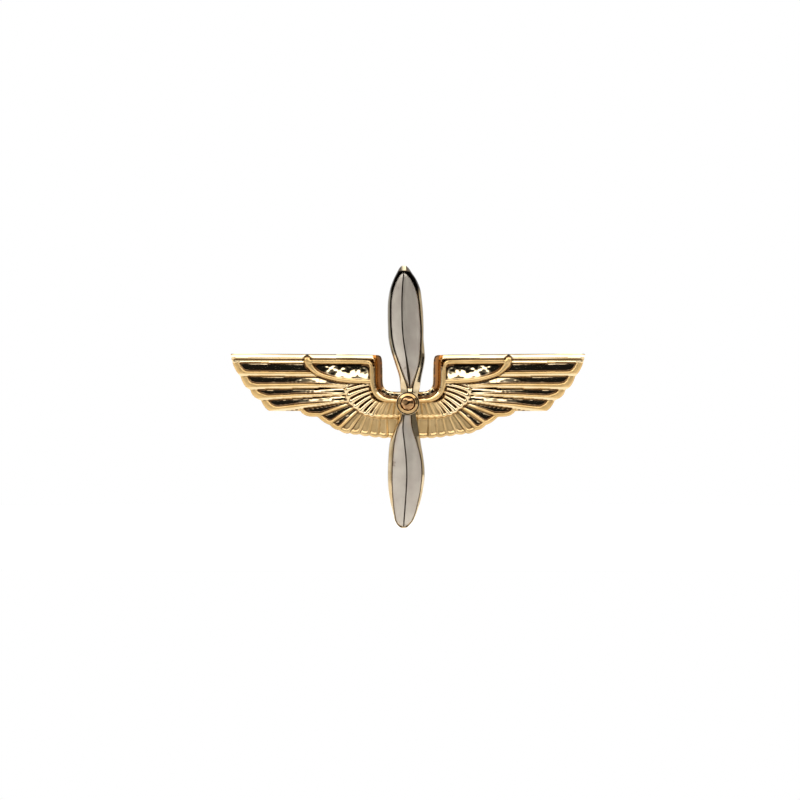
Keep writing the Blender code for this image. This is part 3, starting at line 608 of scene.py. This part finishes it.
def turned(name, profile, place, steps=TURN_STEPS, sharp=40.0):
    """A body of revolution about local +Z from (radius, height) points, placed by a matrix."""
    bm = bmesh.new()
    rings = []
    for radius, height in profile:
        if radius < 1e-6:
            rings.append([bm.verts.new((0.0, 0.0, height * MM))])
            continue
        ring = []
        for step in range(steps):
            angle = 2.0 * math.pi * step / steps
            point = (radius * math.cos(angle), radius * math.sin(angle), height)
            ring.append(bm.verts.new(Vector(point) * MM))
        rings.append(ring)
    pairs = list(zip(rings, rings[1:]))
    if len(rings[0]) > 1 and len(rings[-1]) > 1:
        pairs.append((rings[-1], rings[0]))
    for first, second in pairs:
        for i in range(steps):
            j = (i + 1) % steps
            if len(first) == 1:
                bm.faces.new((first[0], second[i], second[j]))
            elif len(second) == 1:
                bm.faces.new((first[i], first[j], second[0]))
            else:
                bm.faces.new((first[i], first[j], second[j], second[i]))
    bmesh.ops.recalc_face_normals(bm, faces=bm.faces)
    bm.transform(place)
    mesh = bpy.data.meshes.new(name)
    bm.to_mesh(mesh)
    bm.free()
    mesh.shade_smooth()
    mesh.set_sharp_from_angle(angle=math.radians(sharp))
    return mesh


def combined(name, meshes):
    """The meshes joined as one."""
    objects = [bpy.data.objects.new(f"{name}_{i}", mesh) for i, mesh in enumerate(meshes)]
    for obj in objects:
        bpy.context.scene.collection.objects.link(obj)
    for other in objects[1:]:
        step = objects[0].modifiers.new("Join", "BOOLEAN")
        step.operation = "UNION"
        step.solver = "EXACT"
        step.object = other
    graph = bpy.context.evaluated_depsgraph_get()
    mesh = bpy.data.meshes.new_from_object(objects[0].evaluated_get(graph))
    mesh.name = name
    for obj in objects:
        bpy.data.objects.remove(obj, do_unlink=True)
    return mesh


# ---------------------------------------------------------------- propeller and hub

def blade_body(stations):
    """One blade's gold body: drafted walls, a bevelled border and a sunk seat for the face."""
    ends = [station[0] for station in stations]
    heights = np.linspace(min(ends), max(ends), STATIONS)
    sections = []
    for z, left, face_left, _, face_right, right in station_curve(stations, heights):
        start, end = (span[0 if z > 0.0 else 1] for span in (FACE_START, FACE_END))
        size = min(1.0, (right - left) / 1.3)
        broad = CREST_WIDTH[0] + (CREST_WIDTH[1] - CREST_WIDTH[0]) * ramp(abs(z), end - 2.2, end - 0.4)
        broad = broad if z > 0.0 else 0.4 * broad
        rim = BLADE_RIM - 0.45 * max(abs(z) - end - 0.16, 0.0)
        saddle = BLADE_RIM + 0.5 * (start - abs(z))
        seat = FACE_SEAT - 0.02
        if abs(z) < start - 0.04:
            seat = min(saddle, HUB_SEAT - 0.01)
        elif abs(z) > end - 0.02:
            seat = rim - 0.03
        wall = [(0.0, BLADE_BACK), (0.02, 1.30), (0.04, BLADE_SHOULDER - 0.06),
                (0.07, BLADE_SHOULDER)]
        inner = []
        for border in (face_left - left, right - face_right):
            crest = max(min(broad, border / size - 0.10), 0.03)
            inner.append([(crest + 0.02, rim - 0.01), (crest, rim), (0.02, rim),
                          (0.0, min(seat, rim - 0.02)), (-0.01, seat)])
        flat = ramp(z, 1.2, 1.7) * ramp(z, 4.3, 3.7)
        lift = [0.0, 0.0, 0.0, 0.0]
        if flat > 0.0:
            lift[2:] = [0.10 * flat, 0.16 * flat]
        low = [(left + aside * size, -height, z) for aside, height in wall]
        low += [(face_left - aside * size, -height, z) for aside, height in inner[0]]
        high = [(right - aside * size, -height - extra, z)
                for (aside, height), extra in zip(wall, lift)]
        high += [(face_right + aside * size, -height, z) for aside, height in inner[1]]
        sections.append(low + high[::-1])
    return loft("blade_body", sections)


def blade_face(name, stations, sign):
    """The silver face: two facets that meet in a ridge with an engraved groove painted dark as shade.
    """
    start, end = (span[0 if sign > 0 else 1] for span in (FACE_START, FACE_END))
    reach = np.linspace(start, end, STATIONS)
    sections = []
    for z, _, left, ridge, right, _ in station_curve(stations, np.sort(sign * reach)):
        out = ramp(abs(z), start, 4.2)
        groove = GROOVE_HALF[1] + (GROOVE_HALF[0] - GROOVE_HALF[1]) * out
        groove = min(groove if sign > 0 else GROOVE_HALF[0], (right - left) / 8.0)
        slope = (FACE_RIDGE - FACE_EDGE) / max(ridge - left, 0.1)
        lip = FACE_RIDGE - min(slope, 1.0) * groove
        section = [(left, FACE_SEAT), (left, FACE_EDGE - 0.06), (left + 0.04, FACE_EDGE),
                   (ridge - groove, lip), (ridge - groove * 0.5, lip - GROOVE_DEPTH * 0.8),
                   (ridge, lip - GROOVE_DEPTH), (ridge + groove * 0.5, lip - GROOVE_DEPTH * 0.8),
                   (ridge + groove, lip), (right - 0.04, FACE_EDGE), (right, FACE_EDGE - 0.06),
                   (right, FACE_SEAT)]
        # the far end is rounded over the last stretch
        round_off = math.sqrt(max(1.0 - (max(abs(z) - end + 0.30, 0.0) / 0.32) ** 2, 0.0))
        narrow = 0.25 + 0.75 * round_off
        sections.append([(ridge + (x - ridge) * narrow, -height, z) for x, height in section])
    mesh = loft(name, sections, sharp=12.0)
    # one value for each point of a section, painted shade: dark in the groove, faint on its shoulders
    dark = mesh.attributes.new("groove", "FLOAT", "POINT")
    shades = np.tile([0.0, 0.0, 0.0, 0.2, 1.0, 1.0, 1.0, 0.2, 0.0, 0.0, 0.0], len(sections))
    shades *= 1.0 if sign > 0 else 0.6
    dark.data.foreach_set("value", shades.astype(np.float32))
    return mesh


def hub_boss():
    profile = [(0.0, HUB_SEAT), (HUB_RADIUS - 0.03, HUB_SEAT), (HUB_RADIUS - 0.01, HUB_SEAT - 0.02),
               (HUB_RADIUS, HUB_SEAT - 0.10), (HUB_RADIUS, HUB_BACK), (0.0, HUB_BACK)]
    return turned("hub_boss", profile, facing_viewer())


def ring_profile(inner, outer, low, high):
    """A ring's section, with a rounded crest inside and a bevel that falls to the outer edge."""
    slope = RING_FALL / (outer - inner - 0.05)
    return [(inner, low), (inner, high - 0.04), (inner + 0.01, high - 0.01), (inner + 0.03, high),
            (inner + 0.045, high - 0.015 * slope), (outer - 0.035, high - RING_FALL + 0.015 * slope),
            (outer - 0.02, high - RING_FALL), (outer - 0.005, high - RING_FALL - 0.02),
            (outer, high - RING_FALL - 0.05), (outer, low)]


def dome_profile(radius, seat, shoulder, rise, shank, end, steps=14):
    """A rivet's section: a dome on a straight edge, and the shank down to its chamfered end."""
    points = [(0.0, seat + shoulder + rise)]
    for step in range(1, steps + 1):
        angle = math.pi / 2 * step / steps
        points.append((radius * math.sin(angle), seat + shoulder + rise * math.cos(angle)))
    return points + [(radius, seat), (shank, seat), (shank, end + 0.05), (shank - 0.05, end),
                     (0.0, end)]


def hammer(mesh, front):
    """Uneven dents on the part of a mesh in front of y = front."""
    for vert in mesh.vertices:
        if vert.co.y < front:
            x, z = np.array(vert.co.x / MM), np.array(vert.co.z / MM)
            vert.co.y += HAMMER_DEPTH * MM * float(ripple(x, z, 0.46, SEED + 2))


# ---------------------------------------------------------------- materials

def shader_of(name):
    material = bpy.data.materials.new(name)
    material.use_nodes = True
    shader = material.node_tree.nodes["Principled BSDF"]
    shader.inputs["Metallic"].default_value = 1.0
    return material, material.node_tree, shader


def noise(tree, scale, detail, stretch=(1.0, 1.0, 1.0)):
    """A noise value over the object, scale being its waves per metre."""
    where = tree.nodes.new("ShaderNodeTexCoord")
    mapping = tree.nodes.new("ShaderNodeMapping")
    mapping.inputs["Scale"].default_value = stretch
    texture = tree.nodes.new("ShaderNodeTexNoise")
    texture.inputs["Scale"].default_value = scale
    texture.inputs["Detail"].default_value = detail
    tree.links.new(where.outputs["Object"], mapping.inputs["Vector"])
    tree.links.new(mapping.outputs["Vector"], texture.inputs["Vector"])
    return texture.outputs["Fac"]


def mixed(tree, factor, first, second):
    """A colour between two, each a colour or a socket."""
    mix = tree.nodes.new("ShaderNodeMix")
    mix.data_type = "RGBA"
    tree.links.new(factor, mix.inputs["Factor"])
    for socket, value in ((mix.inputs[6], first), (mix.inputs[7], second)):
        if isinstance(value, bpy.types.NodeSocket):
            tree.links.new(value, socket)
        else:
            socket.default_value = (*value, 1.0)
    return mix.outputs[2]


def ranged(tree, value, low, high, to_low, to_high):
    node = tree.nodes.new("ShaderNodeMapRange")
    node.inputs["From Min"].default_value = low
    node.inputs["From Max"].default_value = high
    node.inputs["To Min"].default_value = to_low
    node.inputs["To Max"].default_value = to_high
    tree.links.new(value, node.inputs["Value"])
    return node.outputs["Result"]


def smooth_step(tree, value, low, high):
    """0 up to low and 1 from high, with a smooth turn; falling where low is above high."""
    node = tree.nodes.new("ShaderNodeMapRange")
    node.interpolation_type = "SMOOTHSTEP"
    rising = low < high
    node.inputs["From Min"].default_value = min(low, high)
    node.inputs["From Max"].default_value = max(low, high)
    node.inputs["To Min"].default_value = 0.0 if rising else 1.0
    node.inputs["To Max"].default_value = 1.0 if rising else 0.0
    tree.links.new(value, node.inputs["Value"])
    return node.outputs["Result"]


def computed(tree, operation, first, second):
    node = tree.nodes.new("ShaderNodeMath")
    node.operation = operation
    for socket, value in zip(node.inputs, (first, second)):
        if isinstance(value, bpy.types.NodeSocket):
            tree.links.new(value, socket)
        else:
            socket.default_value = value
    return node.outputs["Value"]


def attribute(tree, name):
    """A value laid on the mesh's points."""
    node = tree.nodes.new("ShaderNodeAttribute")
    node.attribute_name = name
    return node.outputs["Fac"]


def hollow(tree):
    """1 in hollows and creases, 0 on flats and edges."""
    geometry = tree.nodes.new("ShaderNodeNewGeometry")
    return ranged(tree, geometry.outputs["Pointiness"], 0.495, 0.455, 0.0, 1.0)


def bump(tree, shader, value, distance):
    node = tree.nodes.new("ShaderNodeBump")
    node.inputs["Strength"].default_value = 1.0
    node.inputs["Distance"].default_value = distance * MM
    tree.links.new(value, node.inputs["Height"])
    tree.links.new(node.outputs["Normal"], shader.inputs["Normal"])


def metal(name, bright, deep, roughness, grain, stretch=(1.0, 1.0, 1.0), scratch=0.002):
    """A worn metal: two tones, darker hollows, uneven gloss and fine scratches."""
    material, tree, shader = shader_of(name)
    tone = ranged(tree, noise(tree, grain, 4.0), 0.35, 0.65, 0.0, 1.0)
    colour = mixed(tree, tone, bright, deep)
    # darker colour in hollows and creases, by the surface's pointiness
    hollow_colour = tuple(part * 0.35 for part in deep)
    colour = mixed(tree, hollow(tree), colour, hollow_colour)
    tree.links.new(colour, shader.inputs["Base Color"])
    fine = noise(tree, grain * 3.0, 6.0, stretch)
    tree.links.new(ranged(tree, fine, 0.3, 0.7, roughness[0], roughness[1]),
                   shader.inputs["Roughness"])
    bump(tree, shader, fine, scratch)
    return material


def blade_silver():
    """Satin silver with painted shade in its groove and warm patches where the plating has worn."""
    material = metal("blade_silver", (0.68, 0.62, 0.53), (0.57, 0.50, 0.43), (0.36, 0.46), 700.0,
                     stretch=(1.0, 1.0, 0.12), scratch=0.003)
    tree = material.node_tree
    base = tree.nodes["Principled BSDF"].inputs["Base Color"]
    silver = base.links[0].from_socket
    worn = ranged(tree, noise(tree, 260.0, 3.0, stretch=(1.6, 1.0, 0.6)), 0.56, 0.68, 0.0, 0.55)
    colour = mixed(tree, worn, silver, (0.62, 0.46, 0.28))
    flecks = ranged(tree, noise(tree, 1400.0, 3.0), 0.70, 0.76, 0.0, 0.5)
    colour = mixed(tree, flecks, colour, (0.26, 0.18, 0.12))
    # painted shade: near black in the ridge's groove
    colour = mixed(tree, attribute(tree, "groove"), colour, (0.06, 0.045, 0.03))
    tree.links.new(colour, base)
    return material


def struck_gold():
    """The wings: mirror-bright dished faces, satin bands, a notch wall painted deep orange as
    reflection and shade, and creases painted dark as shade.
    """
    material, tree, shader = shader_of("struck_gold")
    satin = attribute(tree, "matte")
    tone = ranged(tree, noise(tree, 900.0, 4.0), 0.35, 0.65, 0.0, 1.0)
    polished = mixed(tree, tone, (0.90, 0.74, 0.48), (0.84, 0.64, 0.36))
    brushed = mixed(tree, tone, (0.76, 0.52, 0.23), (0.64, 0.42, 0.17))
    colour = mixed(tree, satin, polished, brushed)
    # painted reflection and shade: the notch wall's deep orange
    orange = mixed(tree, tone, (0.37, 0.145, 0.028), (0.25, 0.09, 0.014))
    colour = mixed(tree, attribute(tree, "wall_reflection_shade"), colour, orange)
    # painted shade: near black in the creases
    colour = mixed(tree, attribute(tree, "crease_shade"), colour, (0.10, 0.05, 0.02))
    tree.links.new(colour, shader.inputs["Base Color"])
    fine = noise(tree, 9000.0, 5.0)
    gloss = ranged(tree, fine, 0.3, 0.7, 0.05, 0.12)
    dull = ranged(tree, fine, 0.3, 0.7, 0.38, 0.50)
    spread = computed(tree, "SUBTRACT", dull, gloss)
    rough = computed(tree, "ADD", gloss, computed(tree, "MULTIPLY", spread, satin))
    tree.links.new(rough, shader.inputs["Roughness"])
    grain = computed(tree, "MULTIPLY", fine, ranged(tree, satin, 0.0, 1.0, 0.3, 1.0))
    bump(tree, shader, grain, 0.0015)
    return material


# ---------------------------------------------------------------- pieces

def make_wings():
    plate = plate_mesh()
    profile = [(0.0, 0.0), (REAR_BOSS - 0.06, 0.0), (REAR_BOSS, -0.05), (REAR_BOSS, -0.20),
               (0.0, -0.20)]
    boss = turned("rear_boss", [(r, -h) for r, h in profile], facing_viewer())
    piece("wings", plate, struck_gold(), "badge", "gold", "wings_plate")
    gold = metal("back_gold", (0.84, 0.60, 0.28), (0.74, 0.48, 0.20), (0.20, 0.34), 1200.0)
    piece("rear_boss", boss, gold, "badge", "gold")


def propeller_gold():
    """Gold with a painted dark reflection on the upper blade's border: greyer along its left side and
    near black round its tip. It goes by position across and up only, so the blade's back has it too."""
    material = metal("propeller_gold", (0.70, 0.56, 0.36), (0.54, 0.40, 0.22), (0.05, 0.12), 1100.0)
    tree = material.node_tree
    base = tree.nodes["Principled BSDF"].inputs["Base Color"]
    gold = base.links[0].from_socket
    where = tree.nodes.new("ShaderNodeTexCoord")
    split = tree.nodes.new("ShaderNodeSeparateXYZ")
    tree.links.new(where.outputs["Object"], split.inputs["Vector"])
    across, up = split.outputs["X"], split.outputs["Z"]
    # painted reflection: the greyer border along the upper blade's left side
    left = computed(tree, "MULTIPLY", smooth_step(tree, across, -0.2 * MM, -0.5 * MM),
                    smooth_step(tree, up, BORDER_SHADE_FROM[0] * MM, BORDER_SHADE_FROM[1] * MM))
    colour = mixed(tree, left, gold, (0.25, 0.22, 0.16))
    # painted reflection: near black round the upper tip, except the cap in its middle
    aside = computed(tree, "ABSOLUTE", computed(tree, "ADD", across, -CAP_MIDDLE * MM), 0.0)
    uncapped = computed(tree, "MAXIMUM",
                        smooth_step(tree, aside, CAP_HALF[0] * MM, CAP_HALF[1] * MM),
                        smooth_step(tree, up, CAP_FROM[1] * MM, CAP_FROM[0] * MM))
    tip = computed(tree, "MULTIPLY",
                   smooth_step(tree, up, TIP_SHADE_FROM[0] * MM, TIP_SHADE_FROM[1] * MM), uncapped)
    colour = mixed(tree, tip, colour, (0.05, 0.04, 0.03))
    tree.links.new(colour, base)
    return material


def make_propeller():
    gold = propeller_gold()
    body = combined("propeller_body", [blade_body(UPPER_BLADE), blade_body(LOWER_BLADE),
                                       hub_boss()])
    body.set_sharp_from_angle(angle=math.radians(35.0))
    piece("propeller_body", body, gold, "badge", "gold", "propeller")
    silver = blade_silver()
    piece("upper_face", blade_face("upper_face", UPPER_BLADE, 1), silver, "badge", "silver",
          "upper_blade_face")
    piece("lower_face", blade_face("lower_face", LOWER_BLADE, -1), silver, "badge", "silver",
          "lower_blade_face")


def make_hub():
    pale = metal("ring_gold", (0.60, 0.40, 0.19), (0.38, 0.23, 0.09), (0.05, 0.12), 1500.0)
    copper = metal("rivet_gold", (0.60, 0.36, 0.17), (0.20, 0.10, 0.04), (0.04, 0.10), 3200.0)
    inner, outer, rise = RING
    seat = HUB_SEAT + 0.02
    ring = turned("ring", ring_profile(inner, outer, seat, seat + rise), facing_viewer())
    piece("ring", ring, pale, "badge", "pale_gold", "hub_ring")
    section = dome_profile(RIVET_HEAD, seat, RIVET_SHOULDER, RIVET_RISE, RIVET_SHANK, 0.0)
    rivet = turned("rivet", section, facing_viewer())
    hammer(rivet, -(seat + RIVET_SHOULDER) * MM)
    piece("rivet", rivet, copper, "badge", "gold", "hub_rivet")


def finish_fittings():
    """The brooch fitting's CAD nodes keep their shape, with softened edges and worn metal."""
    nickel = metal("worn_nickel", (0.72, 0.70, 0.66), (0.58, 0.56, 0.52), (0.16, 0.30), 1300.0)
    steel = metal("needle_steel", (0.78, 0.77, 0.75), (0.66, 0.65, 0.62), (0.10, 0.22), 1300.0,
                  stretch=(0.08, 1.0, 1.0))
    solder = metal("dull_solder", (0.58, 0.57, 0.55), (0.42, 0.41, 0.39), (0.40, 0.60), 1800.0,
                   scratch=0.012)
    finishes = {"hinge_bracket": nickel, "hinge_rivet": nickel, "catch_barrel": nickel,
                "safety_sleeve": nickel, "needle": steel, "hinge_solder": solder,
                "catch_solder": solder}
    for name, material in finishes.items():
        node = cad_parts[name]
        node.data.materials.clear()
        node.data.materials.append(material)
        weld = node.modifiers.new("Weld", "WELD")
        weld.merge_threshold = 1e-6
        soften = node.modifiers.new("Soften", "BEVEL")
        soften.width = FITTING_EDGE * MM
        soften.segments = 2
        soften.limit_method = "ANGLE"
        soften.angle_limit = math.radians(40.0)
        soften.harden_normals = False


# ---------------------------------------------------------------- stage, light and camera

def make_floor(low):
    """A wide pale floor just under the pin."""
    bm = bmesh.new()
    bmesh.ops.create_circle(bm, cap_ends=True, segments=96, radius=FLOOR_RADIUS * MM)
    mesh = bpy.data.meshes.new("floor")
    bm.to_mesh(mesh)
    bm.free()
    floor = bpy.data.objects.new("floor", mesh)
    floor.location.z = low - FLOOR_GAP * MM
    bpy.context.scene.collection.objects.link(floor)
    material = bpy.data.materials.new("pale_floor")
    material.use_nodes = True
    shader = material.node_tree.nodes["Principled BSDF"]
    shader.inputs["Base Color"].default_value = (0.50, 0.50, 0.50, 1.0)
    shader.inputs["Roughness"].default_value = 0.9
    shader.inputs["Emission Color"].default_value = (1.0, 0.99, 0.97, 1.0)
    shader.inputs["Emission Strength"].default_value = 0.3
    mesh.materials.append(material)


def make_world():
    """A white tent round the pin, with a dark gap where a viewer in front of it stands."""
    world = bpy.data.worlds.new("studio")
    bpy.context.scene.world = world
    world.use_nodes = True
    tree = world.node_tree
    tree.nodes.clear()
    output = tree.nodes.new("ShaderNodeOutputWorld")
    where = tree.nodes.new("ShaderNodeTexCoord")
    split = tree.nodes.new("ShaderNodeSeparateXYZ")
    tree.links.new(where.outputs["Generated"], split.inputs["Vector"])
    up, ahead, aside = (split.outputs[axis] for axis in ("Z", "Y", "X"))
    walls = computed(tree, "MULTIPLY", smooth_step(tree, ahead, -0.955, -0.90), 0.20)
    band = computed(tree, "MULTIPLY", smooth_step(tree, up, 0.46, 0.56),
                    smooth_step(tree, up, 0.93, 0.84))
    overhead = computed(tree, "MULTIPLY", band, 3.4)
    edge_on = computed(tree, "MULTIPLY", smooth_step(tree, ahead, -0.45, -0.10), 0.6)
    left = computed(tree, "MULTIPLY", smooth_step(tree, aside, -0.20, -0.60), 0.45)
    level = computed(tree, "ADD", walls, overhead)
    for more in (edge_on, left, 0.015):
        level = computed(tree, "ADD", level, more)
    tent = tree.nodes.new("ShaderNodeBackground")
    tree.links.new(level, tent.inputs["Strength"])
    plain = tree.nodes.new("ShaderNodeBackground")
    plain.inputs["Color"].default_value = (1.0, 1.0, 1.0, 1.0)
    plain.inputs["Strength"].default_value = 1.0
    path = tree.nodes.new("ShaderNodeLightPath")
    choose = tree.nodes.new("ShaderNodeMixShader")
    tree.links.new(path.outputs["Is Camera Ray"], choose.inputs["Fac"])
    tree.links.new(tent.outputs["Background"], choose.inputs[1])
    tree.links.new(plain.outputs["Background"], choose.inputs[2])
    tree.links.new(choose.outputs["Shader"], output.inputs["Surface"])


def make_camera():
    """Straight at the face, from far enough away for a flat, close-up view."""
    distance = 0.60
    width = 65.1 * MM
    data = bpy.data.cameras.new("camera")
    data.lens = data.sensor_width * distance / width
    data.clip_start = 0.01
    data.clip_end = 20.0
    camera = bpy.data.objects.new("camera", data)
    target = at(-0.64, -1.2, 0.28)
    camera.matrix_world = target @ at(0.0, -distance / MM, 0.0) @ facing_viewer()
    bpy.context.scene.collection.objects.link(camera)
    bpy.context.scene.camera = camera


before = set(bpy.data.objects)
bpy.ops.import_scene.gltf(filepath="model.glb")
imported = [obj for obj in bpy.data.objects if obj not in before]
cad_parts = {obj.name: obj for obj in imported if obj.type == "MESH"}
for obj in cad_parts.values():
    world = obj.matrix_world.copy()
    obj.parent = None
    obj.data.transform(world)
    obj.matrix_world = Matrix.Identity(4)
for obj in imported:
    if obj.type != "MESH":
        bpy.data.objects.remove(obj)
cad_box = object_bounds()
make_wings()
make_propeller()
make_hub()
finish_fittings()
make_floor(cad_box[0].z)
make_world()
make_camera()
bpy.context.scene.view_settings.view_transform = "Standard"
